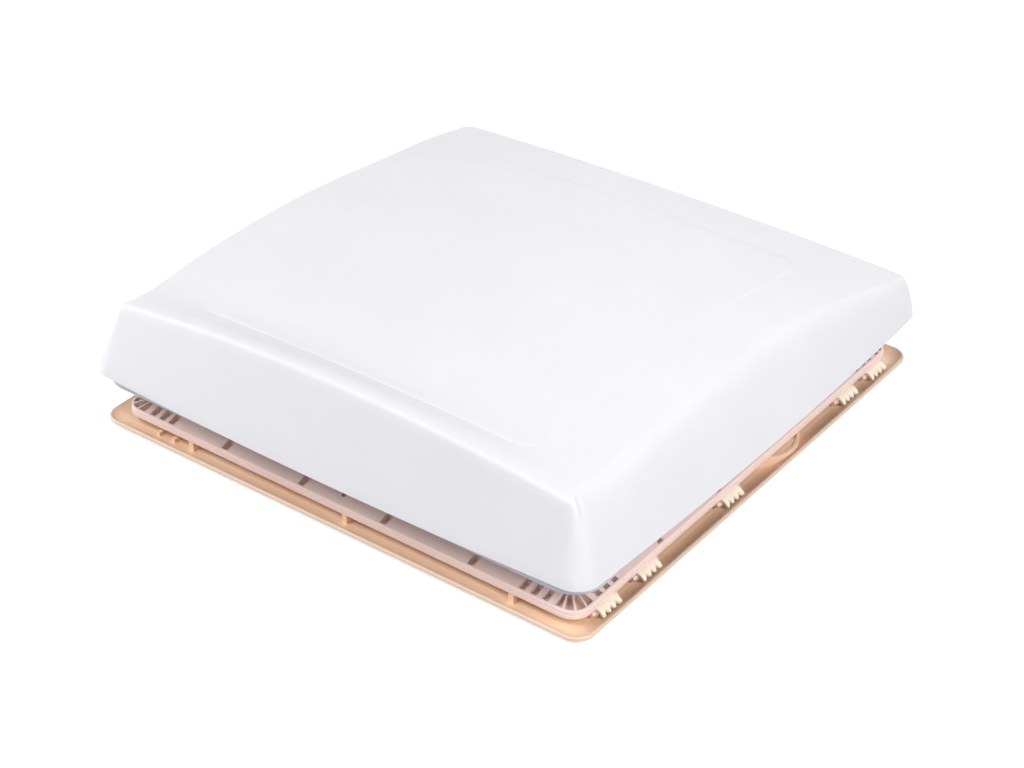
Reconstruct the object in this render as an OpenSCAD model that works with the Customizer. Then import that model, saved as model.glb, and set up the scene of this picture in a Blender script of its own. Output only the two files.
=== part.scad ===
// Caravan roof vent: milky domed lid on a roof frame, a ceiling trim frame below, and a fly screen.
// Millimetres. +Z points up through the roof, -Y is the front with the lid's crisp lip, +Y the hinge side.
// The origin is the middle of the trim frame's underside.

/* [Roof opening] */
// Side of the square hole cut in the roof
cutout = 400; // [390:1:410]
// Height of the roof frame's underside above the trim frame's underside
roof_z = 11; // [10.5:0.5:13]

/* [Trim frame] */
// How far the trim frame reaches past the hole on each side
trim_margin = 45; // [44:0.5:47]
// Outer corner radius of the trim frame
trim_corner = 16; // [16:1:24]
// Height of the trim frame's rim
rim_h = 8.5; // [7.5:0.5:10]
// Thickness of the trim frame's floor
floor_t = 2.5; // [2.2:0.1:3]
// Width of the curved wall between the trim frame's floor and its rim
dish_w = 14.5; // [13:0.5:15.5]
// Length of each snap clip
clip_len = 24; // [20:1:28]

/* [Roof frame] */
// How far the roof frame's flange reaches past the hole on each side
flange_margin = 32; // [31:0.5:33]
// Outer corner radius of the flange
flange_corner = 16; // [14:1:20]
// Height of the flange's outer rim
flange_h = 6.5; // [6:0.5:8]
// Rise of the sloping deck from the rim to the neck
deck_rise = 4; // [2:0.5:5]
// Width of the pockets moulded into the deck
pocket_w = 6.2; // [4:0.1:7]
// Spacing of the pockets beside each corner
pocket_pitch = 10.4; // [9.6:0.1:11]
// Height of the neck above the flange's underside
neck_h = 36.5; // [35:0.5:42]

/* [Lid] */
// How far the lid reaches past the hole at each side
lid_over_x = 54; // [52:0.5:60]
// How far the lid reaches past the hole at front and back
lid_over_y = 55; // [52:0.5:60]
// Outward bow of the lid's edges at mid side
lid_bow = 5.5; // [3:0.5:6]
// Corner radius of the lid's lower edge
lid_corner = 20; // [16:1:26]
// Thickness of the dome's skin
skin = 3; // [2.4:0.1:3.6]
// Height of the front lip above the lid's lower edge
lip_h = 79.5; // [70:0.5:84]
// Inward lean of the front wall from its lower edge to the lip
lip_lean = 19.5; // [15:0.5:23]
// Sideways fall of the lip over the plateau's half width
lip_arch = 10; // [6:0.2:14]
// Length over which the lip runs out into the dome
lip_run = 32; // [26:1:36]
// Height of the crown above the lid's lower edge
crown_h = 70.5; // [62:0.5:78]
// Fall of the dome from the crown towards the front lip
front_fall = 15; // [8:1:20]
// Fall of the dome from the crown to the back shoulder
back_fall = 38; // [28:1:42]
// Sideways fall of the dome over the plateau's half width
arch = 1.2; // [1:0.1:5]
// Width of the rounded shoulders along the sides
side_shoulder = 35; // [28:1:38]
// Width of the tight shoulder along the back
back_shoulder = 9; // [8:1:14]
// Height of the upright skirt at the lid's lower edge
skirt_h = 6; // [6:0.5:8]
// Height of the fine step round the plateau
step_h = 0.5; // [0.3:0.1:1]

/* [Working parts] */
// Diameter of the stay bow's rod
rod_d = 6; // [5:0.5:7]
// Diameter of the lid's hinge pins
pin_d = 5; // [4:0.5:6]
// Distance of each lid hinge from the middle
hinge_x = 140; // [120:1:150]
// Distance of each front latch from the middle
latch_x = 110; // [80:1:130]

/* [Hidden] */
c2 = cutout / 2;
fit = 0.05;
trim_half = c2 + trim_margin;
flange_half = c2 + flange_margin;
collar_out = c2 - 13.5;
collar_in = c2 - 16;
collar_top = roof_z + 8;
neck_out = c2 + 5;
neck_in = c2 + 2;
neck_top = roof_z + neck_h;
deck_z = roof_z + flange_h + deck_rise;
deck_half = flange_half - flange_corner;
pan_z = neck_top + 6;
pan_t = 2.5;
lid_hx = c2 + lid_over_x;
lid_hy = c2 + lid_over_y;
pan_hx = lid_hx - lid_bow - skin - 1.5;
pan_hy = lid_hy - lid_bow - skin - 2.5;
pan_r = 26;
hinge_y = c2 + 30;
hinge_z = pan_z - 11;
pad_z = deck_z + 0.5;
screw_at = c2 - 9;
bow_x = c2 - 14;
bow_y = c2 - 80;
bow_z = hinge_z - 7;
open_deg = 50;
// where the bow's bar rests in the lid when the lid is fully open, measured from the hinge
rest_y = -200;
rest_z = 3;
open_y = hinge_y + rest_y * cos(open_deg) + rest_z * sin(open_deg) - bow_y;
open_z = hinge_z - rest_y * sin(open_deg) + rest_z * cos(open_deg) - bow_z;
bow_len = round(10 * sqrt(open_y * open_y + open_z * open_z)) / 10;
latch_z = pan_z - 14;
latch_y = -c2 + 6;
screen_half = collar_in - 1.5;
screen_z = 1.5;
clip_at = [-0.49, -0.357, -0.066, 0.386, 0.506];
clip_t = 1.8;
clip_top = roof_z - 0.3;
clip_r = clip_top - floor_t;
clip_x = trim_half - 5.6 - clip_r;
clip_pin_x = flange_half - 2;
clip_pin_z = roof_z - 5;
notch_y = cutout * 0.14;

// Rounded rectangle, half sizes hx and hy
module rrect(hx, hy, r) {
    square([2 * (hx - r), 2 * hy], center = true);
    square([2 * hx, 2 * (hy - r)], center = true);
    for (sx = [-1, 1], sy = [-1, 1])
        translate([sx * (hx - r), sy * (hy - r)])
            circle(r, $fn = 64);
}

module plate(hx, hy, r, z0, z1) {
    translate([0, 0, z0])
        linear_extrude(z1 - z0)
            rrect(hx, hy, r);
}

// Upright wall ring of thickness t
module ring(hx, hy, r, t, z0, z1) {
    difference() {
        plate(hx, hy, r, z0, z1);
        plate(hx - t, hy - t, max(r - t, 0.5), z0 - 1, z1 + 1);
    }
}

// Carries a section round a rounded rectangle; the section's x starts at the corner centres
module sweep(hx, hy, r) {
    for (k = [0, 1])
        rotate([0, 0, 180 * k]) {
            translate([hx - r, hy - r, 0])
                rotate([90, 0, 0])
                    linear_extrude(2 * (hy - r))
                        children();
            translate([-(hx - r), hy - r, 0])
                rotate([90, 0, 90])
                    linear_extrude(2 * (hx - r))
                        children();
            translate([hx - r, hy - r, 0])
                rotate_extrude(angle = 90, $fn = 96)
                    children();
            translate([-(hx - r), hy - r, 0])
                rotate([0, 0, 90])
                    rotate_extrude(angle = 90, $fn = 96)
                        children();
        }
}

// Round bar along X from x0 to x1
module bar_x(d, x0, x1) {
    translate([x0, 0, 0])
        rotate([0, 90, 0])
            cylinder(h = x1 - x0, d = d, $fn = 48);
}

// Round bar along Y from y0 to y1
module bar_y(d, y0, y1) {
    translate([0, y0, 0])
        rotate([-90, 0, 0])
            cylinder(h = y1 - y0, d = d, $fn = 48);
}

module box(x0, x1, y0, y1, z0, z1) {
    translate([x0, y0, z0])
        cube([x1 - x0, y1 - y0, z1 - z0]);
}

// Places a child at both ends of the lid hinge line, both latches and so on
module pair(x) {
    for (s = [-1, 1])
        translate([s * x, 0, 0])
            children();
}

module each_side() {
    for (a = [0, 90, 180, 270])
        rotate([0, 0, a])
            children();
}

module at_screws() {
    each_side()
        for (s = [-1, 1])
            translate([screw_at, s * cutout * 0.24, 0])
                children();
}

module at_clips() {
    for (k = [0, 1])
        rotate([0, 0, 180 * k])
            for (f = clip_at)
                translate([0, f * cutout, 0])
                    children();
}

// One deck pocket of the +X side
module pocket(y) {
    box(flange_half - 13.5, flange_half - 2.6, y - pocket_w / 2, y + pocket_w / 2, roof_z + 3, deck_z + 1);
}

// Deck pockets of one side: singles along it and a close group beside each corner
module side_pockets() {
    for (f = [-0.299, -0.095, 0.115, 0.328])
        pocket(f * cutout);
    for (s = [-1, 1], k = [0:2])
        pocket(s * (deck_half - 16 - k * pocket_pitch));
}

// Fan of recesses between the ribs of one corner
module corner_pockets() {
    wall = 2.6;
    intersection() {
        plate(flange_half - wall, flange_half - wall, flange_corner - wall, roof_z + 3, deck_z + 1);
        translate([deck_half - 8, deck_half - 8, 0])
            for (k = [0:3])
                rotate([0, 0, 2.5 + 22.5 * k])
                    rotate_extrude(angle = 17.5, $fn = 96)
                        translate([9, roof_z])
                            square([30, flange_h + deck_rise + 2]);
    }
}

// Flat seats for the hinge brackets on the back deck
module hinge_pads() {
    pair(hinge_x)
        box(-24, 24, neck_out, flange_half - 1, roof_z, pad_z);
}

module roof_frame() {
    rf = flange_corner;
    color([0.93, 0.82, 0.78])
        difference() {
            union() {
                sweep(flange_half, flange_half, rf)
                    polygon([[0, roof_z], [rf, roof_z], [rf, roof_z + 0.45 * flange_h],
                        [rf - 0.6, roof_z + 0.45 * flange_h], [rf - 0.6, roof_z + flange_h - 0.6],
                        [rf - 1.2, roof_z + flange_h], [0, deck_z]]);
                plate(deck_half + 0.5, deck_half + 0.5, 1, roof_z, deck_z);
                plate(neck_out, neck_out, 20, roof_z, neck_top);
                plate(neck_out + 4, neck_out + 4, 24, neck_top - 3, neck_top);
                plate(c2 - 2, c2 - 2, 12, floor_t, roof_z + 1);
                hinge_pads();
            }
            plate(neck_in, neck_in, 17, roof_z + 3, neck_top + 1);
            difference() {
                plate(c2 - 5, c2 - 5, 9, 0, roof_z + 4);
                at_screws()
                    translate([0, 0, floor_t])
                        cylinder(h = roof_z + 3 - floor_t, d = 8.4, $fn = 48);
                at_screws()
                    box(0, 5, -4.2, 4.2, floor_t, roof_z + 3);
            }
            at_screws()
                translate([0, 0, 1])
                    cylinder(h = roof_z + 0.5, d = 4, $fn = 32);
            difference() {
                each_side()
                    side_pockets();
                hinge_pads();
            }
            each_side()
                corner_pockets();
            pair(hinge_x)
                for (s = [-1, 1])
                    translate([s * 11, hinge_y - 9.5, pad_z - 8])
                        cylinder(h = 10, d = 4, $fn = 32);
            // screw holes into the roof, one at the middle of each side
            each_side()
                translate([flange_half - 11, 0, 0])
                    cylinder(h = deck_z + 1, d = 4.4, $fn = 32);
            // shallow bed for the sealing compound under the flange
            translate([0, 0, roof_z - 1])
                ring(flange_half - 6, flange_half - 6, 14, 16, 0, 2.2);
        }
}

// Section of the trim frame's edge: floor, curved wall and rim
module dish_section() {
    rt = trim_corner;
    wall_x = rt - dish_w;
    w = dish_w - 1.9;
    h = rim_h - floor_t + 0.15;
    r = (w * w + h * h) / (2 * h);
    difference() {
        polygon([[0, 0], [wall_x + 3, 0], [rt - 4.5, 1.6], [rt - 1.4, rim_h - 4.5], [rt, rim_h - 3],
            [rt, rim_h - 0.7], [rt - 0.7, rim_h], [0, rim_h]]);
        translate([-1, floor_t])
            square([wall_x + 1, rim_h]);
        translate([wall_x, floor_t - 0.15 + r])
            circle(r, $fn = 192);
    }
}

// Upright web on the trim frame's floor, its front edge at y, its top at z
module gusset(t, y, z) {
    translate([-t / 2, 0, 0])
        rotate([90, 0, 90])
            linear_extrude(t)
                polygon([[y, floor_t - 0.5], [y, z], [y + 6, z], [y + 12, floor_t + 1], [y + 12, floor_t - 0.5]]);
}

module trim_frame() {
    hole = trim_half - trim_corner;
    nr = 0.095 * cutout;
    nx = trim_half - 4.5 - nr;
    nh = roof_z - 0.4;
    color([0.78, 0.62, 0.47])
        difference() {
            union() {
                sweep(trim_half, trim_half, trim_corner)
                    dish_section();
                plate(hole + 0.5, hole + 0.5, 1, 0, floor_t);
                plate(collar_out, collar_out, 12, 0, collar_top);
                for (f = [-0.388, 0.022, 0.428], k = [0, 1])
                    rotate([0, 0, 180 * k])
                        translate([f * cutout, 0, 0])
                            gusset(5, -flange_half, roof_z - 0.2);
                for (f = [-0.48, -0.438], k = [0, 1])
                    rotate([0, 0, 180 * k])
                        translate([f * cutout, 0, 0])
                            gusset(3.6, -flange_half - 0.8, floor_t + 3.4);
                // bulge over the finger recess in the underside
                intersection() {
                    translate([nx, notch_y, 0.5])
                        cylinder(h = nh - 0.5, r = nr, $fn = 128);
                    box(flange_half - 13, trim_half, notch_y - nr, notch_y + nr, 0, 30);
                }
            }
            plate(collar_in, collar_in, 9.5, -1, 40);
            intersection() {
                translate([nx, notch_y, -1])
                    cylinder(h = nh - 2.4, r = nr - 2.5, $fn = 128);
                box(flange_half - 11, trim_half, notch_y - nr, notch_y + nr, -1, 30);
            }
            // shallow top of the bulge inside its raised edge
            translate([nx, notch_y, nh - 1.2])
                cylinder(h = 5, r = nr - 2.8, $fn = 128);
            at_screws() {
                translate([0, 0, -0.01])
                    cylinder(h = 2.01, d1 = 8.02, d2 = 4, $fn = 48);
                translate([0, 0, -1])
                    cylinder(h = floor_t + 2, d = 4.2, $fn = 32);
            }
            translate([0, screen_half - 6.5, screen_z + 3.5])
                bar_x(4 + 2 * fit, -collar_out - 1, collar_out + 1);
            // notch whose floor carries the fly screen's catch
            box(-11, 11, -collar_out - 1, -collar_in + 1, screen_z + 6.9, collar_top + 1);
        }
}

// One snap clip: a foot on the trim frame's floor, a bored boss and a rounded shell that ends in pointed teeth
module trim_clip() {
    x = flange_half - 12;
    tip = clip_x + 0.92 * clip_r;
    foot = floor_t + 0.45 * (rim_h - floor_t);
    difference() {
        rotate([90, 0, 0])
            linear_extrude(clip_len, center = true)
                difference() {
                    union() {
                        intersection() {
                            difference() {
                                translate([clip_x, floor_t])
                                    circle(clip_r, $fn = 96);
                                translate([clip_x, floor_t])
                                    circle(clip_r - clip_t, $fn = 96);
                            }
                            translate([clip_x - 0.4, foot])
                                square([tip - clip_x + 0.4, clip_r]);
                        }
                        translate([x, clip_top - clip_t])
                            square([clip_x - x, clip_t - 0.05]);
                        translate([x, floor_t])
                            square([2, clip_top - floor_t - 0.05]);
                        translate([clip_pin_x - 1.6, clip_pin_z])
                            square([3.2, clip_top - clip_pin_z - 0.6]);
                        translate([clip_pin_x, clip_pin_z])
                            circle(3.3, $fn = 64);
                    }
                    translate([clip_pin_x, clip_pin_z])
                        circle(2, $fn = 64);
                }
        for (k = [-1:1])
            translate([tip - 3.6, 0.27 * clip_len * k, 0])
                linear_extrude(roof_z)
                    polygon([[0, 0], [6, -0.17 * clip_len], [6, 0.17 * clip_len]]);
    }
}

module trim_clips() {
    color([0.97, 0.92, 0.83])
        at_clips()
            trim_clip();
}

module clip_pins() {
    color([0.93, 0.82, 0.78])
        at_clips() {
            translate([clip_pin_x, 0, clip_pin_z])
                bar_y(4, -clip_len / 2 - 4, clip_len / 2 + 4.5);
            // lug that carries the pin, bonded under the flange
            box(clip_pin_x - 4, clip_pin_x + 1.2, clip_len / 2 + 0.4, clip_len / 2 + 4,
                clip_pin_z - 3.2, roof_z);
        }
}

module frame_screws() {
    color([0.7, 0.7, 0.72])
        at_screws() {
            difference() {
                translate([0, 0, 0.3])
                    cylinder(h = 1.7, d1 = 7.4, d2 = 4, $fn = 48);
                box(-3, 3, -0.5, 0.5, 0, 1.1);
            }
            translate([0, 0, 2])
                cylinder(h = roof_z - 2, d = 4, $fn = 32);
        }
}

module lid_seal() {
    color([0.12, 0.12, 0.13])
        sweep(neck_out + 4, neck_out + 4, 24) {
            translate([18, neck_top])
                square([6, 2.8]);
            translate([21, neck_top + 2.8])
                circle(2.8, $fn = 48);
        }
}

module hinge_brackets() {
    color([0.93, 0.82, 0.78])
        pair(hinge_x)
            difference() {
                union() {
                    box(-22, 22, hinge_y - 13, flange_half - 1.5, pad_z, pad_z + 3);
                    for (s = [-1, 1])
                        translate([s * 17, 0, 0]) {
                            box(-2, 2, hinge_y - 5.5, flange_half - 1.5, pad_z, hinge_z);
                            translate([0, hinge_y, hinge_z])
                                bar_x(11, -2, 2);
                        }
                }
                translate([0, hinge_y, hinge_z])
                    bar_x(pin_d, -30, 30);
                for (s = [-1, 1])
                    translate([s * 11, hinge_y - 9.5, pad_z - 1])
                        cylinder(h = 6, d = 4, $fn = 32);
            }
}

module bracket_screws() {
    color([0.7, 0.7, 0.72])
        pair(hinge_x)
            for (s = [-1, 1])
                translate([s * 11, hinge_y - 9.5, 0]) {
                    translate([0, 0, pad_z - 7])
                        cylinder(h = 10, d = 4, $fn = 32);
                    translate([0, 0, pad_z + 3])
                        cylinder(h = 2, d = 7, $fn = 32);
                }
}

module hinge_pins() {
    color([0.7, 0.7, 0.72])
        pair(hinge_x)
            translate([0, hinge_y, hinge_z])
                bar_x(pin_d, -20, 20);
}

module bow_sockets() {
    color([0.93, 0.82, 0.78])
        for (s = [-1, 1])
            difference() {
                translate([s * (neck_in - 3), bow_y, bow_z])
                    bar_x(14, -3, 3);
                translate([s * (neck_in - 3), bow_y, bow_z])
                    bar_x(rod_d + 2 * fit, -5, 5);
            }
}

module latch_keepers() {
    color([0.93, 0.82, 0.78])
        for (s = [-1, 1])
            translate([s * latch_x, 0, 0])
                mirror([s > 0 ? 1 : 0, 0, 0])
                    translate([16.5, 0, 0])
                        box(-6, 7.5, -neck_in, latch_y + 6, latch_z + 5, latch_z + 8);
}

// Plan points of a rounded rectangle round (0, cy), each as [x, y, outward x, outward y]
nc = 8;
ns = 14;
function corner_pts(cx, cy, r, a0) =
    [for (i = [0:nc]) let (a = a0 + 90 * i / nc) [cx + r * cos(a), cy + r * sin(a), cos(a), sin(a)]];
function side_pts(p, q, nx, ny, bow) =
    [for (i = [1:ns - 1]) let (t = i / ns, b = bow * (1 - pow(2 * t - 1, 2)))
        [p[0] + (q[0] - p[0]) * t + nx * b, p[1] + (q[1] - p[1]) * t + ny * b, nx, ny]];
function plan_pts(hx, hy, cy, r, bow) =
    let (ax = hx - bow, ay = hy - bow, ux = ax - r, uy = ay - r)
    concat(
        corner_pts(ux, cy - uy, r, -90),
        side_pts([ax, cy - uy], [ax, cy + uy], 1, 0, bow),
        corner_pts(ux, cy + uy, r, 0),
        side_pts([ux, cy + ay], [-ux, cy + ay], 0, 1, bow),
        corner_pts(-ux, cy + uy, r, 90),
        side_pts([-ax, cy + uy], [-ax, cy - uy], -1, 0, bow),
        corner_pts(-ux, cy - uy, r, 180),
        side_pts([-ux, cy - ay], [ux, cy - ay], 0, -1, bow));

// Shape of the dome's top along its length and across it
lid_edge_z = pan_z + 1;
skirt_in = 0.8;
lip_in = lip_lean + skirt_in;
inset_end = side_shoulder + skirt_in;
inset_r = max(lid_corner - 0.55 * inset_end, 4);
crest_y = -(lid_hy - lip_in);
peak_y = -0.25 * lid_hy;
plateau_x = 0.656 * lid_hx;
plateau_y = 0.752 * lid_hy;
plateau_mid = -0.032 * lid_hy;
plateau_r = 23;
function ease(t) = let (c = min(max(t, 0), 1)) c * c * (3 - 2 * c);
function along(y) = y > peak_y
    ? crown_h - back_fall * pow((y - peak_y) / (0.93 * lid_hy - peak_y), 1.9)
    : crown_h - front_fall * pow((peak_y - y) / (peak_y - crest_y), 2.5);
function aside(x) = arch * pow(abs(x) / plateau_x, 2.6);
function lip_share(y) = exp(-pow((y - crest_y) / lip_run, 2));
function top_h(x, y) =
    let (v = max(y, crest_y), lip = lip_h - lip_arch * pow(x / plateau_x, 2))
    along(v) - aside(x) + lip_share(v) * (lip - crown_h + front_fall + aside(x));
function edge_z(y) = lid_edge_z - 2 * (1 + y / lid_hy);
// Share of the wall's height reached at the inset d, where the wall faces ny at y; the shoulders tighten to the back
function wall(d, ny, y) =
    let (b = 0.7 * ease((y / lid_hy - 0.3) / 0.6), k = b + (1 - b) * ease(ny),
        w = ease((-ny - 0.45) / 0.45), s = side_shoulder + (back_shoulder - side_shoulder) * k)
    w * min(d / lip_lean, 1) + (1 - w) * (1 - pow(1 - min(d / s, 1), 2.2));
// One ring of dome points: d is the inset from the lid's edge, lift raises it, t sinks it for the inner face
function dome_ring(hx, hy, cy, r, bow, d, lift, t) =
    [for (p = plan_pts(hx, hy, cy, r, bow))
        let (e = edge_z(p[1]) + skirt_h * min(d / skirt_in, 1), h = wall(max(d - skirt_in, 0), p[3], p[1]))
        [p[0], p[1], e + h * (lid_edge_z + top_h(p[0], p[1]) + lift - t - e)]];
function wall_ring(d, t) =
    dome_ring(lid_hx - d - t, lid_hy - d - t, 0, max(lid_corner - 0.55 * d - t, 4), lid_bow * (1 - d / 90), d, 0, t);
// f runs from 0 at the shoulder to 1 at the plateau's edge
function flank_ring(f, lift, t) =
    let (x0 = lid_hx - inset_end - 1, y0 = lid_hy - inset_end - 1)
    dome_ring(x0 + (plateau_x - x0) * f - t * (1 - f), y0 + (plateau_y - y0) * f - t * (1 - f),
        plateau_mid * f, inset_r + (plateau_r - inset_r) * f, 0.67 * lid_bow * (1 - f), inset_end, lift, t);
function crown_ring(s, t) =
    dome_ring(plateau_x * s, plateau_y * s, plateau_mid, plateau_r * s, 0, inset_end, step_h, t);
// Insets of the rings on the wall: the skirt, the wall up to the lip, and on to the shoulder's end
outer_d = concat([0, skirt_in], [for (k = [0.12, 0.3, 0.5, 0.75, 1]) skirt_in + k * lip_lean],
    [for (k = [0.1, 0.35, 0.65, 1]) lip_in + k * (inset_end - lip_in)]);
inner_d = concat([0, skirt_in], [for (k = [0.3, 0.65, 1]) skirt_in + k * lip_lean], [inset_end]);

module lid_dome() {
    n = 4 * (nc + ns);
    outer = concat(
        [for (d = outer_d) wall_ring(d, 0)],
        [for (f = [0.18, 0.45, 0.75, 0.97]) flank_ring(f, 0, 0)],
        [for (s = [0.996, 0.86, 0.7, 0.52, 0.34, 0.16]) crown_ring(s, 0)]);
    inner = concat(
        [for (d = inner_d) wall_ring(d, skin)],
        [for (f = [0.45]) flank_ring(f, 0, skin)],
        [for (s = [0.98, 0.66, 0.3]) crown_ring(s, skin)]);
    no = len(outer);
    ni = len(inner);
    crown_z = lid_edge_z + top_h(0, plateau_mid) + step_h;
    pts = concat([for (r = outer) each r], [for (r = inner) each r],
        [[0, plateau_mid, crown_z], [0, plateau_mid, crown_z - skin]]);
    base = no * n;
    last = (no + ni) * n;
    faces = concat(
        [for (j = [0:no - 2], i = [0:n - 1]) let (k = (i + 1) % n, a = j * n, b = a + n)
            each [[a + i, b + i, b + k], [a + i, b + k, a + k]]],
        [for (j = [0:ni - 2], i = [0:n - 1]) let (k = (i + 1) % n, a = base + j * n, b = a + n)
            each [[a + i, b + k, b + i], [a + i, a + k, b + k]]],
        [for (i = [0:n - 1]) let (k = (i + 1) % n)
            each [[i, k, base + k], [i, base + k, base + i]]],
        [for (i = [0:n - 1]) let (k = (i + 1) % n, a = (no - 1) * n) [a + i, last, a + k]],
        [for (i = [0:n - 1]) let (k = (i + 1) % n, a = base + (ni - 1) * n) [a + i, a + k, last + 1]]);
    color([0.96, 0.96, 0.98])
        polyhedron(points = pts, faces = faces, convexity = 8);
}

module lid_pan() {
    r = pan_r;
    h = c2 - 18;
    color([0.9, 0.9, 0.93])
        difference() {
            union() {
                difference() {
                    plate(pan_hx, pan_hy, r, pan_z, pan_z + pan_t);
                    plate(h - 2.5, h - 2.5, r - 2.5, pan_z - 1, pan_z + pan_t + 1);
                }
                ring(pan_hx, pan_hy, r, pan_t, pan_z - 9, pan_z + 0.5);
                sweep(h, h, r)
                    polygon([[r, pan_z], [r, pan_z + pan_t], [r - 11, pan_z + 28], [0, pan_z + 28],
                        [0, pan_z + 25.5], [r - 12.6, pan_z + 25.5], [r - 2.5, pan_z]]);
                plate(h - r + 0.5, h - r + 0.5, 1, pan_z + 25.5, pan_z + 28);
            }
            pair(hinge_x)
                for (s = [-1, 1])
                    translate([s * 15, hinge_y - 9.5, pan_z - 1])
                        cylinder(h = 6, d = 4, $fn = 32);
        }
}

module lid_bond() {
    color([0.85, 0.85, 0.86])
        translate([0, 0, pan_z + 0.5])
            linear_extrude(2.5)
                difference() {
                    polygon([for (p = plan_pts(lid_hx - skin - 1.4, lid_hy - skin - 1.4, 0, lid_corner - skin,
                        lid_bow)) [p[0], p[1]]]);
                    rrect(pan_hx, pan_hy, pan_r);
                }
}

module hinge_leaves() {
    color([0.9, 0.9, 0.93])
        pair(hinge_x)
            difference() {
                union() {
                    box(-20, 20, hinge_y - 14, hinge_y + 6, pan_z - 2.5, pan_z);
                    box(-14.6, 14.6, hinge_y - 5.5, hinge_y + 5.5, hinge_z, pan_z - 2.5);
                    translate([0, hinge_y, hinge_z])
                        bar_x(11, -14.6, 14.6);
                }
                translate([0, hinge_y, hinge_z])
                    bar_x(pin_d + 2 * fit, -30, 30);
                for (s = [-1, 1])
                    translate([s * 15, hinge_y - 9.5, pan_z - 4])
                        cylinder(h = 6, d = 4, $fn = 32);
            }
}

module leaf_screws() {
    color([0.7, 0.7, 0.72])
        pair(hinge_x)
            for (s = [-1, 1])
                translate([s * 15, hinge_y - 9.5, 0]) {
                    translate([0, 0, pan_z - 4.5])
                        cylinder(h = 2, d = 6.5, $fn = 32);
                    translate([0, 0, pan_z - 2.5])
                        cylinder(h = 6, d = 4, $fn = 32);
                }
}

module bow_catches() {
    y = hinge_y + rest_y;
    z = hinge_z + rest_z + rod_d / 2;
    color([0.9, 0.9, 0.93])
        for (s = [-1, 1])
            translate([s * bow_x, 0, 0])
                difference() {
                    box(-4, 6, y - 10, y + 12, z - 1, pan_z);
                    box(-9, 9, y - rod_d / 2 - 1.5, y + rod_d / 2 + 1.5, z - 5, z + 1.5);
                }
}

module latch_mounts() {
    color([0.9, 0.9, 0.93])
        pair(latch_x)
            difference() {
                union() {
                    box(-14, 14, latch_y + 2, latch_y + 16, pan_z - 2.5, pan_z);
                    box(-8, 8, latch_y + 7, latch_y + 16.1, latch_z, pan_z);
                    translate([0, 0, latch_z])
                        bar_y(16, latch_y + 7, latch_y + 16.1);
                }
                translate([0, 0, latch_z])
                    bar_y(10 + 2 * fit, latch_y, latch_y + 20);
            }
}

// Hook with its shaft, hanging free; the keeper is on the side towards the middle
module latch_hook() {
    translate([0, 0, latch_z]) {
        bar_y(10, latch_y + 6.5, latch_y + 16.5);
        bar_y(6, latch_y + 16.5, latch_y + 22);
        bar_y(13, latch_y + 1.5, latch_y + 6.6);
        translate([0, 0, -12])
            bar_y(7, latch_y + 1.5, latch_y + 6.6);
        box(-3.5, 3.5, latch_y + 1.5, latch_y + 6.6, -12, 0);
    }
}

module latch_handle(s) {
    translate([0, 0, latch_z])
        difference() {
            union() {
                bar_y(14, latch_y + 16.5, latch_y + 22.5);
                box(min(0, s * 20), max(0, s * 20), latch_y + 17.2, latch_y + 22, -4, 4);
                translate([s * 20, 0, 0])
                    bar_y(8, latch_y + 17.2, latch_y + 22);
            }
            bar_y(6, latch_y + 10, latch_y + 22);
        }
}

module latch_left() {
    color([0.93, 0.82, 0.78])
        translate([-latch_x, 0, 0])
            latch_hook();
}

module handle_left() {
    color([0.93, 0.82, 0.78])
        translate([-latch_x, 0, 0])
            latch_handle(-1);
}

module latch_right() {
    color([0.93, 0.82, 0.78])
        translate([latch_x, 0, 0])
            latch_hook();
}

module handle_right() {
    color([0.93, 0.82, 0.78])
        translate([latch_x, 0, 0])
            latch_handle(1);
}

module bend(b) {
    rotate_extrude(angle = 90, $fn = 96)
        translate([b, 0])
            circle(d = rod_d, $fn = 48);
}

// Half of the U-shaped bow: bar, corner, leg and the end turned outwards into its socket
module bow_half() {
    b = 9;
    y = bow_y - bow_len;
    translate([0, y, 0])
        rotate([0, 0, -90])
            bar_y(rod_d, -1, bow_x - b);
    translate([bow_x - b, y + b, 0])
        rotate([0, 0, -90])
            bend(b);
    translate([bow_x, 0, 0])
        bar_y(rod_d, y + b, bow_y - b);
    translate([bow_x + b, bow_y - b, 0])
        rotate([0, 0, 90])
            bend(b);
    translate([0, bow_y, 0])
        rotate([0, 0, -90])
            bar_y(rod_d, bow_x + b, neck_in - 0.5);
}

module stay_bow() {
    color([0.75, 0.75, 0.77])
        translate([0, 0, bow_z]) {
            bow_half();
            mirror([1, 0, 0])
                bow_half();
        }
}

module bow_grip() {
    color([0.93, 0.82, 0.78])
        translate([0, bow_y - bow_len, bow_z])
            difference() {
                union() {
                    bar_x(11, -45, 45);
                    for (s = [-1, 1])
                        bar_x(13, s * 43 - 2, s * 43 + 2);
                }
                bar_x(rod_d, -60, 60);
            }
}

module screen_frame() {
    h = screen_half;
    y = h - 6.5;
    color([0.93, 0.88, 0.82])
        difference() {
            plate(h, h, 8, screen_z, screen_z + 7);
            plate(h - 14.5, h - 14.5, 3, screen_z - 1, screen_z + 10);
            plate(h - 7, h - 7, 4, screen_z + 3.5, screen_z + 10);
            box(-6.5, 6.5, -h - 1, -h + 8, screen_z + 3.5, screen_z + 10);
            translate([0, y, screen_z + 3.5])
                for (s = [-1, 1])
                    bar_x(4, min(s * (h - 6.5), s * (h + 1)), max(s * (h - 6.5), s * (h + 1)));
        }
}

module screen_mesh() {
    h = screen_half - 7.2;
    color([0.25, 0.25, 0.26])
        plate(h, h, 3.8, screen_z + 3.5, screen_z + 3.9);
}

module screen_spline() {
    h = screen_half - 7.1;
    color([0.2, 0.2, 0.2])
        sweep(h, h, 3.8)
            translate([2.3, screen_z + 5.3])
                circle(1.4, $fn = 32);
}

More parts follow.
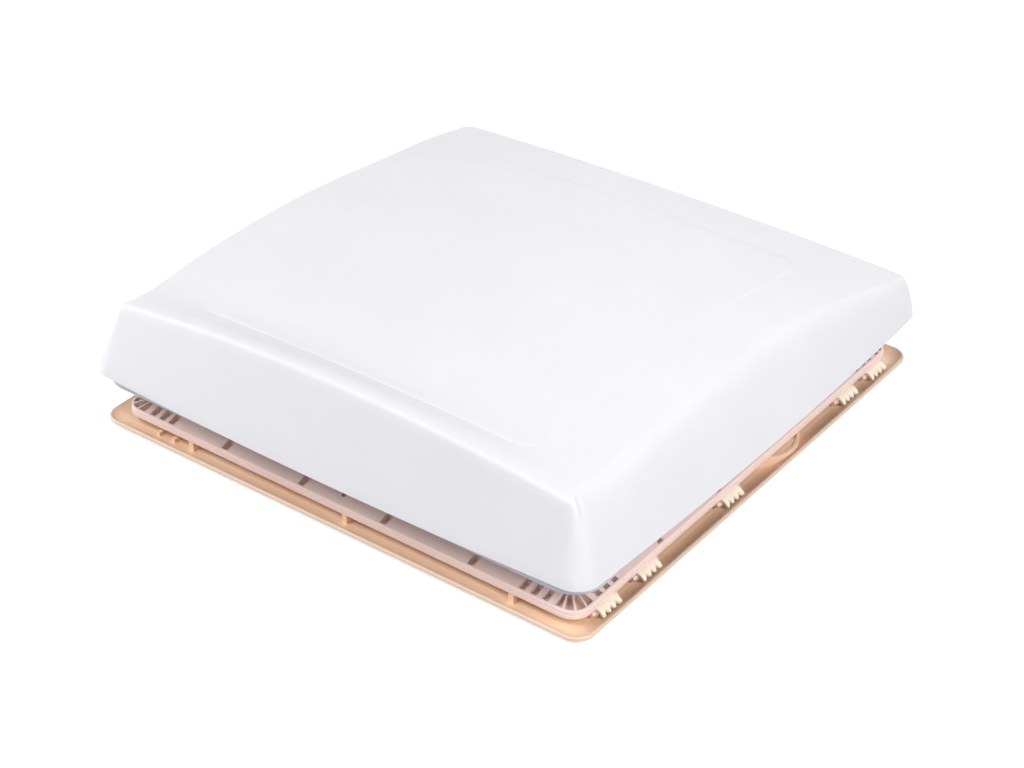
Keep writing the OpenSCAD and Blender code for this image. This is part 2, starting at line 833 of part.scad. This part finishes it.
module screen_pins() {
    color([0.7, 0.7, 0.72])
        translate([0, screen_half - 6.5, screen_z + 3.5])
            for (s = [-1, 1])
                bar_x(4, min(s * (screen_half - 6.5), s * (collar_out + 0.5)),
                    max(s * (screen_half - 6.5), s * (collar_out + 0.5)));
}

module screen_catch() {
    h = screen_half;
    color([0.93, 0.88, 0.82])
        union() {
            box(-9, 9, -h + 0.2, -h + 13, screen_z + 7.3, screen_z + 10.3);
            box(-6, 6, -h + 3, -h + 6.6, screen_z + 4, screen_z + 7.4);
            for (k = [0:2])
                translate([0, -h + 6 + 3 * k, screen_z + 10.3])
                    bar_x(1.6, -7, 7);
        }
}

roof_frame();
trim_frame();
trim_clips();
clip_pins();
frame_screws();
lid_seal();
hinge_brackets();
bracket_screws();
hinge_pins();
bow_sockets();
latch_keepers();
lid_dome();
lid_pan();
lid_bond();
hinge_leaves();
leaf_screws();
bow_catches();
latch_mounts();
stay_bow();
bow_grip();
latch_left();
handle_left();
latch_right();
handle_right();
screen_frame();
screen_mesh();
screen_spline();
screen_pins();
screen_catch();
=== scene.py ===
import math

import bpy
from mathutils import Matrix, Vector


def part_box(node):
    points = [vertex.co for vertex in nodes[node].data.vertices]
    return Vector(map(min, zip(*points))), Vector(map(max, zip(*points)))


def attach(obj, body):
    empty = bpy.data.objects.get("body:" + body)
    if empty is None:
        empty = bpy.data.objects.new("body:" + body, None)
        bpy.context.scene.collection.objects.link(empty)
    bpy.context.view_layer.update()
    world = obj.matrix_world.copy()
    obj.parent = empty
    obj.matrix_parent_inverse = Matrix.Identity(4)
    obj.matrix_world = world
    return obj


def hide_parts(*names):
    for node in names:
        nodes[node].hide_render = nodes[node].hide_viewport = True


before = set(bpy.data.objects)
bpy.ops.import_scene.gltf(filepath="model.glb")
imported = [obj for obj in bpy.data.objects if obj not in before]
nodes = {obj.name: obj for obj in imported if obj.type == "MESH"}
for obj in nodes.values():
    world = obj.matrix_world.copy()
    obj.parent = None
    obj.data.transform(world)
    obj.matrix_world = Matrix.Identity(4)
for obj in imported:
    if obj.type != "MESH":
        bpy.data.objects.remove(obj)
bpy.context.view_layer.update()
bpy.ops.object.select_all(action="DESELECT")


# Camera. It stands off the lid's right front corner, almost two metres away and well above the roof,
# so that the lid's front lip runs from left to right and its right side runs back.
MM = 0.001
VIEW_AZIMUTH = math.radians(37.03)
VIEW_ELEVATION = math.radians(33.37)
VIEW_DISTANCE = 1916.1 * MM
AIM_POINT = Vector((-4.77, 2.67, 4.0)) * MM
LENS_MM = 79.1

towards_camera = Vector((
    math.sin(VIEW_AZIMUTH) * math.cos(VIEW_ELEVATION),
    -math.cos(VIEW_AZIMUTH) * math.cos(VIEW_ELEVATION),
    math.sin(VIEW_ELEVATION)))
bpy.ops.object.camera_add(
    location=AIM_POINT + VIEW_DISTANCE * towards_camera,
    rotation=towards_camera.to_track_quat("Z", "Y").to_euler())
camera = bpy.context.object
camera.name = "photo_camera"
camera.data.lens = LENS_MM
camera.data.sensor_width = 36.0
camera.data.clip_end = 20.0
bpy.context.scene.camera = camera
bpy.context.scene.view_settings.view_transform = "Standard"


# Studio. A pale floor under the vent, a white surround and four soft lamps: a high one in front and one at
# a slant on the right that reach under the lid, a low one on the left and one behind that evens the lid.
def light_path_white(tree):
    """A mask that is 1 for what the camera, a gloss or a clear piece sees, and 0 for bounced light."""
    path = tree.nodes.new("ShaderNodeLightPath")
    seen = tree.nodes.new("ShaderNodeMath")
    seen.operation = "MAXIMUM"
    mirrored = tree.nodes.new("ShaderNodeMath")
    mirrored.operation = "MAXIMUM"
    tree.links.new(path.outputs["Is Camera Ray"], seen.inputs[0])
    tree.links.new(path.outputs["Is Glossy Ray"], seen.inputs[1])
    tree.links.new(seen.outputs[0], mirrored.inputs[0])
    tree.links.new(path.outputs["Is Transmission Ray"], mirrored.inputs[1])
    return mirrored.outputs[0]


FLOOR_SIZE = 8.0
FLOOR_TONE = 0.6
FLOOR_GLOW_NEAR = 0.6
FLOOR_GLOW_FAR = 1.0
GLOW_FADE_FROM = 0.6
GLOW_FADE_TO = 1.6
FLOOR_DROP = 0.0002
bpy.ops.mesh.primitive_grid_add(x_subdivisions=2, y_subdivisions=2, size=FLOOR_SIZE, location=(0, 0, -FLOOR_DROP))
floor = bpy.context.object
floor.name = "studio_floor"
bpy.ops.object.transform_apply(location=True, rotation=False, scale=False)
paper = bpy.data.materials.new("white_paper")
paper.use_nodes = True
tree = paper.node_tree
sheet_shader = tree.nodes["Principled BSDF"]
sheet_shader.inputs["Base Color"].default_value = (FLOOR_TONE, FLOOR_TONE, FLOOR_TONE, 1)
sheet_shader.inputs["Roughness"].default_value = 1.0
sheet_shader.inputs["Specular IOR Level"].default_value = 0.0
glow = tree.nodes.new("ShaderNodeEmission")
glow.inputs["Color"].default_value = (1, 1, 1, 1)
scaled = tree.nodes.new("ShaderNodeMath")
scaled.operation = "MULTIPLY"
place = tree.nodes.new("ShaderNodeTexCoord")
away = tree.nodes.new("ShaderNodeVectorMath")
away.operation = "LENGTH"
fade = tree.nodes.new("ShaderNodeMapRange")
fade.inputs["From Min"].default_value = GLOW_FADE_FROM
fade.inputs["From Max"].default_value = GLOW_FADE_TO
fade.inputs["To Min"].default_value = FLOOR_GLOW_NEAR
fade.inputs["To Max"].default_value = FLOOR_GLOW_FAR
tree.links.new(place.outputs["Object"], away.inputs[0])
tree.links.new(away.outputs["Value"], fade.inputs["Value"])
tree.links.new(fade.outputs["Result"], scaled.inputs[1])
tree.links.new(light_path_white(tree), scaled.inputs[0])
tree.links.new(scaled.outputs[0], glow.inputs["Strength"])
both = tree.nodes.new("ShaderNodeAddShader")
tree.links.new(sheet_shader.outputs[0], both.inputs[0])
tree.links.new(glow.outputs[0], both.inputs[1])
tree.links.new(both.outputs[0], tree.nodes["Material Output"].inputs["Surface"])
floor.data.materials.append(paper)

SURROUND_LIGHT = 0.15
world = bpy.data.worlds.new("white_surround")
bpy.context.scene.world = world
world.use_nodes = True
tree = world.node_tree
surround = tree.nodes["Background"]
surround.inputs["Color"].default_value = (1, 1, 1, 1)
level = tree.nodes.new("ShaderNodeMapRange")
level.inputs["To Min"].default_value = SURROUND_LIGHT
level.inputs["To Max"].default_value = 1.0
tree.links.new(light_path_white(tree), level.inputs["Value"])
tree.links.new(level.outputs["Result"], surround.inputs["Strength"])

LAMPS = {
    "front_lamp": {"at": (-0.7, -2.1, 3.0), "size": 2.0, "power": 100.0},
    "right_lamp": {"at": (2.25, -0.3, 1.35), "size": 1.5, "power": 56.0},
    "left_lamp": {"at": (-2.0, -1.0, 0.4), "size": 1.0, "power": 23.0},
    "back_lamp": {"at": (-0.3, 1.3, 1.1), "size": 1.2, "power": 10.0},
}
for name, lamp in LAMPS.items():
    aim = Vector(lamp["at"])
    bpy.ops.object.light_add(type="AREA", location=aim, rotation=aim.to_track_quat("Z", "Y").to_euler())
    light = bpy.context.object
    light.name = name
    light.data.shape = "SQUARE"
    light.data.size = lamp["size"]
    light.data.energy = lamp["power"]


# Ceiling trim frame. A shallow tan dish moulded in one piece that hangs under the ceiling round the hole,
# with its rim painted paler as painted light, upright webs on its floor, a half-round bulge over the finger
# recess and a square collar.
def from_srgb(red, green, blue):
    """A colour of 0 to 255 per channel as the linear colour that a shader takes."""
    linear = [c / 255 / 12.92 if c < 10.3 else ((c / 255 + 0.055) / 1.055) ** 2.4 for c in (red, green, blue)]
    return (*linear, 1.0)


def make_moulding_grain():
    """Fine skin of a moulded plastic: a grain height, a broad flow tone and where hands have dulled it."""
    group = bpy.data.node_groups.new("moulding_grain", "ShaderNodeTree")
    made = group.interface.new_socket("Grain per metre", in_out="INPUT", socket_type="NodeSocketFloat")
    made.default_value = 1400.0
    start = group.nodes.new("NodeGroupInput")
    end = group.nodes.new("NodeGroupOutput")
    place = group.nodes.new("ShaderNodeTexCoord")
    for output, scale, detail in (("Grain", None, 2.0), ("Flow", 9.0, 4.0), ("Handling", 45.0, 5.0)):
        group.interface.new_socket(output, in_out="OUTPUT", socket_type="NodeSocketFloat")
        noise = group.nodes.new("ShaderNodeTexNoise")
        noise.inputs["Detail"].default_value = detail
        group.links.new(place.outputs["Object"], noise.inputs["Vector"])
        group.links.new(noise.outputs["Fac"], end.inputs[output])
        if scale is None:
            group.links.new(start.outputs["Grain per metre"], noise.inputs["Scale"])
        else:
            noise.inputs["Scale"].default_value = scale
    return group


moulding_grain = make_moulding_grain()


def moulded_plastic(name, deep, pale, roughness, grain_depth, grain_per_metre=1400.0):
    """A satin moulded plastic: its tone drifts between two colours, its grain is fine and its edges blunt."""
    finish = bpy.data.materials.new(name)
    finish.use_nodes = True
    tree = finish.node_tree
    shader = tree.nodes["Principled BSDF"]
    skin = tree.nodes.new("ShaderNodeGroup")
    skin.node_tree = moulding_grain
    skin.name = "skin"
    skin.inputs["Grain per metre"].default_value = grain_per_metre
    tone = tree.nodes.new("ShaderNodeMix")
    tone.name = "tone"
    tone.data_type = "RGBA"
    tone.inputs["A"].default_value = deep
    tone.inputs["B"].default_value = pale
    spread = tree.nodes.new("ShaderNodeMapRange")
    spread.inputs["From Min"].default_value = 0.3
    spread.inputs["From Max"].default_value = 0.7
    shine = tree.nodes.new("ShaderNodeMapRange")
    shine.inputs["From Min"].default_value = 0.3
    shine.inputs["From Max"].default_value = 0.7
    shine.inputs["To Min"].default_value = roughness - 0.03
    shine.inputs["To Max"].default_value = roughness + 0.05
    blunt = tree.nodes.new("ShaderNodeBevel")
    blunt.samples = 6
    blunt.inputs["Radius"].default_value = 0.5 * MM
    relief = tree.nodes.new("ShaderNodeBump")
    relief.inputs["Strength"].default_value = 0.35
    relief.inputs["Distance"].default_value = grain_depth
    link = tree.links.new
    link(skin.outputs["Flow"], spread.inputs["Value"])
    link(spread.outputs["Result"], tone.inputs["Factor"])
    link(tone.outputs["Result"], shader.inputs["Base Color"])
    link(skin.outputs["Handling"], shine.inputs["Value"])
    link(shine.outputs["Result"], shader.inputs["Roughness"])
    link(skin.outputs["Grain"], relief.inputs["Height"])
    link(blunt.outputs["Normal"], relief.inputs["Normal"])
    link(relief.outputs["Normal"], shader.inputs["Normal"])
    return finish


def dress(finish, *names):
    """Gives CAD nodes their finish."""
    for name in names:
        slots = nodes[name].data.materials
        slots.clear()
        slots.append(finish)


TRIM_DEEP = from_srgb(240, 205, 174)
TRIM_PALE = from_srgb(244, 212, 182)
# painted light: the outer rim band gets a paler, greyer tan that stands for the light the rim catches, not a
# colour of its own
RIM_PAINTED_LIGHT = from_srgb(216, 191, 173)
RIM_WIDTH = 2.7 * MM
RIM_FOOT = 4.9 * MM
RIM_BLEND_INWARD = 0.8 * MM
RIM_BLEND_UP = 0.6 * MM
TRIM_CORNER = 16.0 * MM
trim_low, trim_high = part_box("trim_frame")
corner_at = trim_high[0] - TRIM_CORNER

tan_trim = moulded_plastic("tan_trim", TRIM_DEEP, TRIM_PALE, 0.42, 0.05 * MM)
tree = tan_trim.node_tree
place = tree.nodes.new("ShaderNodeTexCoord")
last = place.outputs["Object"]
beyond_corner = (
    ("ABSOLUTE", None), ("SUBTRACT", (corner_at, corner_at, 1.0)), ("MAXIMUM", (0, 0, 0)), ("LENGTH", None))
for operation, value in beyond_corner:
    step = tree.nodes.new("ShaderNodeVectorMath")
    step.operation = operation
    tree.links.new(last, step.inputs[0])
    if value:
        step.inputs[1].default_value = value
    last = step.outputs["Value"] if operation == "LENGTH" else step.outputs["Vector"]
outside = tree.nodes.new("ShaderNodeMapRange")
outside.inputs["From Min"].default_value = TRIM_CORNER - RIM_WIDTH
outside.inputs["From Max"].default_value = TRIM_CORNER - RIM_WIDTH + RIM_BLEND_INWARD
tree.links.new(last, outside.inputs["Value"])
parts = tree.nodes.new("ShaderNodeSeparateXYZ")
tree.links.new(place.outputs["Object"], parts.inputs["Vector"])
above = tree.nodes.new("ShaderNodeMapRange")
above.inputs["From Min"].default_value = RIM_FOOT
above.inputs["From Max"].default_value = RIM_FOOT + RIM_BLEND_UP
tree.links.new(parts.outputs["Z"], above.inputs["Value"])
# mask of the rim band above its foot, where the rim's painted light is mixed into the tan
rim_light_mask = tree.nodes.new("ShaderNodeMath")
rim_light_mask.operation = "MULTIPLY"
tree.links.new(outside.outputs["Result"], rim_light_mask.inputs[0])
tree.links.new(above.outputs["Result"], rim_light_mask.inputs[1])
rim_lit_tone = tree.nodes.new("ShaderNodeMix")
rim_lit_tone.data_type = "RGBA"
rim_lit_tone.inputs["B"].default_value = RIM_PAINTED_LIGHT
tree.links.new(rim_light_mask.outputs[0], rim_lit_tone.inputs["Factor"])
tree.links.new(tree.nodes["tone"].outputs["Result"], rim_lit_tone.inputs["A"])
tree.links.new(rim_lit_tone.outputs["Result"], tree.nodes["Principled BSDF"].inputs["Base Color"])
dress(tan_trim, "trim_frame")


# Trim clips. Short cream mouldings with a rounded back and pointed teeth that reach out beside the rim,
# each held by a thin pink pin in a lug under the roof frame's flange.
CLIP_DEEP = from_srgb(248, 234, 214)
CLIP_PALE = from_srgb(253, 243, 228)
dress(moulded_plastic("cream_clip", CLIP_DEEP, CLIP_PALE, 0.36, 0.04 * MM), "trim_clips")


# Roof frame. One pink moulding: a flange bedded on the roof, a sloping deck with pockets, and a neck
# that carries the seal. The clip pins, sockets, keepers and hinge brackets are moulded in the same pink.
FRAME_DEEP = from_srgb(236, 210, 202)
FRAME_PALE = from_srgb(241, 218, 210)
pink_frame = moulded_plastic("pink_frame", FRAME_DEEP, FRAME_PALE, 0.38, 0.05 * MM)
dress(pink_frame, "roof_frame", "clip_pins", "hinge_brackets", "bow_sockets", "latch_keepers",
      "bow_grip", "latch_left", "handle_left", "latch_right", "handle_right")


# Screws, pins and the stay bow. Zinc-plated steel, headed or drawn to shape and then plated:
# bright, with a slightly cloudy plating.
ZINC_DEEP = from_srgb(168, 168, 172)
ZINC_PALE = from_srgb(206, 207, 210)
zinc = moulded_plastic("zinc_plate", ZINC_DEEP, ZINC_PALE, 0.24, 0.02 * MM, 2600.0)
zinc.node_tree.nodes["Principled BSDF"].inputs["Metallic"].default_value = 1.0
dress(zinc, "frame_screws", "bracket_screws", "hinge_pins", "leaf_screws", "stay_bow", "screen_pins")


# Lid seal and screen spline. Extruded black rubber, dull, with a powdery bloom. The seal is pushed on
# the neck's top, and the spline into the groove of the screen's frame.
RUBBER_DEEP = from_srgb(26, 26, 28)
RUBBER_PALE = from_srgb(46, 46, 49)
black_rubber = moulded_plastic("black_rubber", RUBBER_DEEP, RUBBER_PALE, 0.68, 0.08 * MM, 1900.0)
dress(black_rubber, "lid_seal", "screen_spline")


# Lid. A dome drawn from one sheet of milky plastic: a straight front wall up to a crisp lip, a hollow
# behind it, a broad plateau with a fine step round it, and shoulders that grow tight towards the back.
LID_SKIN = 3.0 * MM
LID_BOW = 5.5 * MM
LID_CORNER = 20.0 * MM
LID_RAKE = 4.0 * MM
LIP_HEIGHT = 79.5 * MM
LIP_LEAN = 19.5 * MM
LIP_FALL = 10.0 * MM
LIP_RUN = 32.0 * MM
CROWN_HEIGHT = 70.5 * MM
FRONT_FALL = 15.0 * MM
BACK_FALL = 38.0 * MM
SIDE_FALL = 1.2 * MM
SIDE_SHOULDER = 35.0 * MM
BACK_SHOULDER = 9.0 * MM
SKIRT_HEIGHT = 6.0 * MM
SKIRT_INSET = 0.8 * MM
STEP_HEIGHT = 0.5 * MM
STEP_SHARE = 0.05
PLATEAU_CORNER = 23.0 * MM
CORNER_SHARE = 0.14
PEAK_SHARE = -0.25
PLATEAU_SHARE_X = 0.656
PLATEAU_SHARE_Y = 0.752
PLATEAU_SHIFT = -0.032
BACK_END_SHARE = 0.93
BACK_POWER = 1.9
FRONT_POWER = 2.5
SIDE_POWER = 2.6
SHOULDER_POWER = 2.2
BACK_TIGHTNESS = 0.7
RELAXED_BAND = 7.0 * MM
CROWN_RINGS = 26
FLANK_RINGS = 14
WALL_RINGS = 26

lid_low, lid_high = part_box("lid_dome")
lid_x, lid_y = lid_high[0], lid_high[1]
edge_z = lid_low[2] + LID_RAKE
lip_inset = LIP_LEAN + SKIRT_INSET
wall_inset = SIDE_SHOULDER + SKIRT_INSET
crest_y = lip_inset - lid_y
peak_y = PEAK_SHARE * lid_y
plateau_x = PLATEAU_SHARE_X * lid_x
plateau_y = PLATEAU_SHARE_Y * lid_y
plateau_mid = PLATEAU_SHIFT * lid_y


def ease(share):
    share = min(max(share, 0.0), 1.0)
    return share * share * (3 - 2 * share)


def lid_top(x, y):
    """Height of the lid's top over its front edge, without the walls."""
    y = max(y, crest_y)
    if y > peak_y:
        height = CROWN_HEIGHT - BACK_FALL * ((y - peak_y) / (BACK_END_SHARE * lid_y - peak_y)) ** BACK_POWER
    else:
        height = CROWN_HEIGHT - FRONT_FALL * ((peak_y - y) / (peak_y - crest_y)) ** FRONT_POWER
    aside = SIDE_FALL * (abs(x) / plateau_x) ** SIDE_POWER
    lip = LIP_HEIGHT - LIP_FALL * (x / plateau_x) ** 2
    share = math.exp(-((y - crest_y) / LIP_RUN) ** 2)
    return height - aside + share * (lip - CROWN_HEIGHT + FRONT_FALL + aside)


def wall_share(inset, facing_y, y):
    """How much of the wall's height is reached at an inset from the lid's edge."""
    back = BACK_TIGHTNESS * ease((y / lid_y - 0.3) / 0.6)
    back += (1 - back) * ease(facing_y)
    shoulder = SIDE_SHOULDER + (BACK_SHOULDER - SIDE_SHOULDER) * back
    front = ease((-facing_y - 0.45) / 0.45)
    rounded = 1 - (1 - min(inset / shoulder, 1)) ** SHOULDER_POWER
    return front * min(inset / LIP_LEAN, 1) + (1 - front) * rounded


def lid_point(ring, column, row, count):
    """Place of one point of a square ring of grid points, count steps from the middle to the side."""
    half_x, half_y, mid, radius, bow, inset, lift = ring
    on_side = abs(column) >= abs(row)
    facing = math.copysign(1, column if on_side else row)
    along = (row if on_side else column) / max(count, 1)
    half_across, half_along = (half_x, half_y) if on_side else (half_y, half_x)
    straight = half_along - bow - radius
    bend = max(abs(along) - (1 - CORNER_SHARE), 0) / CORNER_SHARE * math.pi / 4
    if bend == 0:
        offset = straight * along / (1 - CORNER_SHARE)
        across = half_across - bow + bow * (1 - (offset / max(straight, 1e-6)) ** 2)
    else:
        offset = math.copysign(straight + radius * math.sin(bend), along)
        across = half_across - bow - radius + radius * math.cos(bend)
    x, y = (facing * across, offset) if on_side else (offset, facing * across)
    facing_y = math.copysign(math.sin(bend), along) if on_side else facing * math.cos(bend)
    y += mid
    low = edge_z - LID_RAKE / 2 * (1 + y / lid_y) + SKIRT_HEIGHT * min(inset / SKIRT_INSET, 1)
    share = wall_share(max(inset - SKIRT_INSET, 0), facing_y, y)
    return x, y, low + share * (edge_z + lid_top(x, y) + lift - low)


lid_rings = []
for ring in range(CROWN_RINGS + 1):
    size = ring / CROWN_RINGS
    lid_rings.append((
        plateau_x * size, plateau_y * size, plateau_mid, PLATEAU_CORNER * size, 0.0, wall_inset, STEP_HEIGHT))
inner_corner = max(LID_CORNER - 0.55 * wall_inset, 4 * MM)
start_x, start_y = lid_x - wall_inset, lid_y - wall_inset
for out in [0.25 * STEP_SHARE * ring for ring in range(1, 4)] + [
        STEP_SHARE + (1 - STEP_SHARE) * ring / FLANK_RINGS for ring in range(FLANK_RINGS)]:
    lid_rings.append((
        plateau_x + (start_x - plateau_x) * out,
        plateau_y + (start_y - plateau_y) * out,
        plateau_mid * (1 - out),
        PLATEAU_CORNER + (inner_corner - PLATEAU_CORNER) * out, 0.67 * LID_BOW * out, wall_inset,
        STEP_HEIGHT * (1 - ease(out / STEP_SHARE))))
wall_insets = [SKIRT_INSET + SIDE_SHOULDER * (1 - ring / WALL_RINGS) for ring in range(WALL_RINGS + 1)]
for inset in wall_insets + [0.0]:
    lid_rings.append((
        lid_x - inset, lid_y - inset, 0.0, max(LID_CORNER - 0.55 * inset, 4 * MM),
        LID_BOW * (1 - inset / (90 * MM)), inset, 0.0))

steps = len(lid_rings) - 1
bpy.ops.mesh.primitive_grid_add(x_subdivisions=2 * steps, y_subdivisions=2 * steps, size=2.0)
lid = bpy.context.object
lid.name = "milky_lid"
for vertex in lid.data.vertices:
    column, row = round(vertex.co.x * steps), round(vertex.co.y * steps)
    count = max(abs(column), abs(row))
    vertex.co = lid_point(lid_rings[count], column, row, count)

# the lip and the shoulders are rounded over by the drawing, and the band along the lip's crest is relaxed
bpy.ops.object.mode_set(mode="EDIT")
bpy.ops.mesh.select_all(action="DESELECT")
bpy.ops.object.mode_set(mode="OBJECT")
for vertex in lid.data.vertices:
    near_lip = abs(vertex.co.y - crest_y) < RELAXED_BAND
    vertex.select = near_lip and vertex.co.z > edge_z + 0.6 * LIP_HEIGHT
bpy.ops.object.mode_set(mode="EDIT")
bpy.ops.mesh.vertices_smooth(factor=0.5, repeat=3)
bpy.ops.mesh.select_all(action="SELECT")
bpy.ops.mesh.normals_make_consistent(inside=False)
bpy.ops.object.mode_set(mode="OBJECT")
skin = lid.modifiers.new("skin", "SOLIDIFY")
skin.thickness = LID_SKIN
skin.offset = -1.0
bpy.ops.object.modifier_apply(modifier="skin")
bpy.ops.object.shade_smooth_by_angle(angle=math.radians(50))

LID_DEEP = from_srgb(213, 212, 217)
LID_PALE = from_srgb(216, 215, 220)
milky_lid = moulded_plastic("milky_lid", LID_DEEP, LID_PALE, 0.48, 0.01 * MM, 500.0)
lid_shader = milky_lid.node_tree.nodes["Principled BSDF"]
lid_shader.inputs["Specular IOR Level"].default_value = 0.28
lid_shader.inputs["Subsurface Weight"].default_value = 0.35
lid_shader.inputs["Subsurface Radius"].default_value = (1.0, 0.98, 1.0)
lid_shader.inputs["Subsurface Scale"].default_value = 0.012
lid.data.materials.append(milky_lid)
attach(lid, "lid")
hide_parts("lid_dome")


# Inner pan. The lid's second skin, a glossy shallow tray of the same milky sheet, painted as a darker blue-grey
# copy of the lid's colour, so that its turned-down edge shows as a grey line of painted shade under the dome. The
# bond strip seals the two skins along their edges and takes the same painted shade.
# painted shade: a blue-grey that stands for the shade under the dome, not a colour of the milky sheet
PAN_SHADE_DEEP = from_srgb(172, 172, 182)
PAN_SHADE_PALE = from_srgb(184, 184, 194)
shaded_milky_pan = moulded_plastic("shaded_milky_pan", PAN_SHADE_DEEP, PAN_SHADE_PALE, 0.16, 0.01 * MM, 500.0)
dress(shaded_milky_pan, "lid_pan", "lid_bond")


# Lid fittings. Hinge leaves, bow catches and latch mounts, moulded in satin white and welded
# or screwed to the pan.
FITTING_DEEP = from_srgb(226, 226, 232)
FITTING_PALE = from_srgb(238, 238, 243)
white_fitting = moulded_plastic("lid_fitting", FITTING_DEEP, FITTING_PALE, 0.4, 0.04 * MM)
dress(white_fitting, "hinge_leaves", "bow_catches", "latch_mounts")


# Fly screen frame. A flat moulded cream frame hinged at the back of the trim's collar, with a sliding
# catch at the front.
SCREEN_DEEP = from_srgb(232, 220, 204)
SCREEN_PALE = from_srgb(242, 231, 216)
cream_screen = moulded_plastic("screen_cream", SCREEN_DEEP, SCREEN_PALE, 0.4, 0.05 * MM)
dress(cream_screen, "screen_frame", "screen_catch")


# Fly net. Coated glass yarn in two crossing layers that are welded where they meet, stretched flat
# in the frame and held by the spline.
NET_PITCH = 1.6 * MM
YARN_WIDTH = 0.56 * MM
YARN_SIDES = 6
net_low, net_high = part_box("screen_mesh")
net_side = net_high[0] - net_low[0]
yarn_height = (net_high[2] - net_low[2]) / 2
yarn_count = int(net_side / NET_PITCH)
layers = []
for layer in range(2):
    bpy.ops.mesh.primitive_cylinder_add(
        vertices=YARN_SIDES, radius=0.5, depth=1.0, end_fill_type="TRIFAN", rotation=(0, math.pi / 2, 0))
    yarn = bpy.context.object
    bpy.ops.object.transform_apply(location=False, rotation=True, scale=False)
    first = -(yarn_count - 1) / 2 * NET_PITCH
    yarn.scale = (net_side, YARN_WIDTH, yarn_height)
    yarn.location = (0, first, net_low[2] + (layer + 0.5) * yarn_height)
    bpy.ops.object.transform_apply(location=True, rotation=True, scale=True)
    run = yarn.modifiers.new("run", "ARRAY")
    run.count = yarn_count
    run.use_relative_offset = False
    run.use_constant_offset = True
    run.constant_offset_displace = (0, NET_PITCH, 0)
    bpy.ops.object.modifier_apply(modifier="run")
    if layer == 1:
        yarn.rotation_euler = (0, 0, math.pi / 2)
        bpy.ops.object.transform_apply(location=True, rotation=True, scale=True)
    layers.append(yarn)
bpy.ops.object.select_all(action="DESELECT")
for yarn in layers:
    yarn.select_set(True)
bpy.context.view_layer.objects.active = layers[0]
bpy.ops.object.join()
net = layers[0]
net.name = "fly_net"
NET_DEEP = from_srgb(52, 52, 54)
NET_PALE = from_srgb(78, 78, 80)
net.data.materials.append(moulded_plastic("coated_yarn", NET_DEEP, NET_PALE, 0.55, 0.03 * MM, 3000.0))
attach(net, "screen")
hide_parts("screen_mesh")
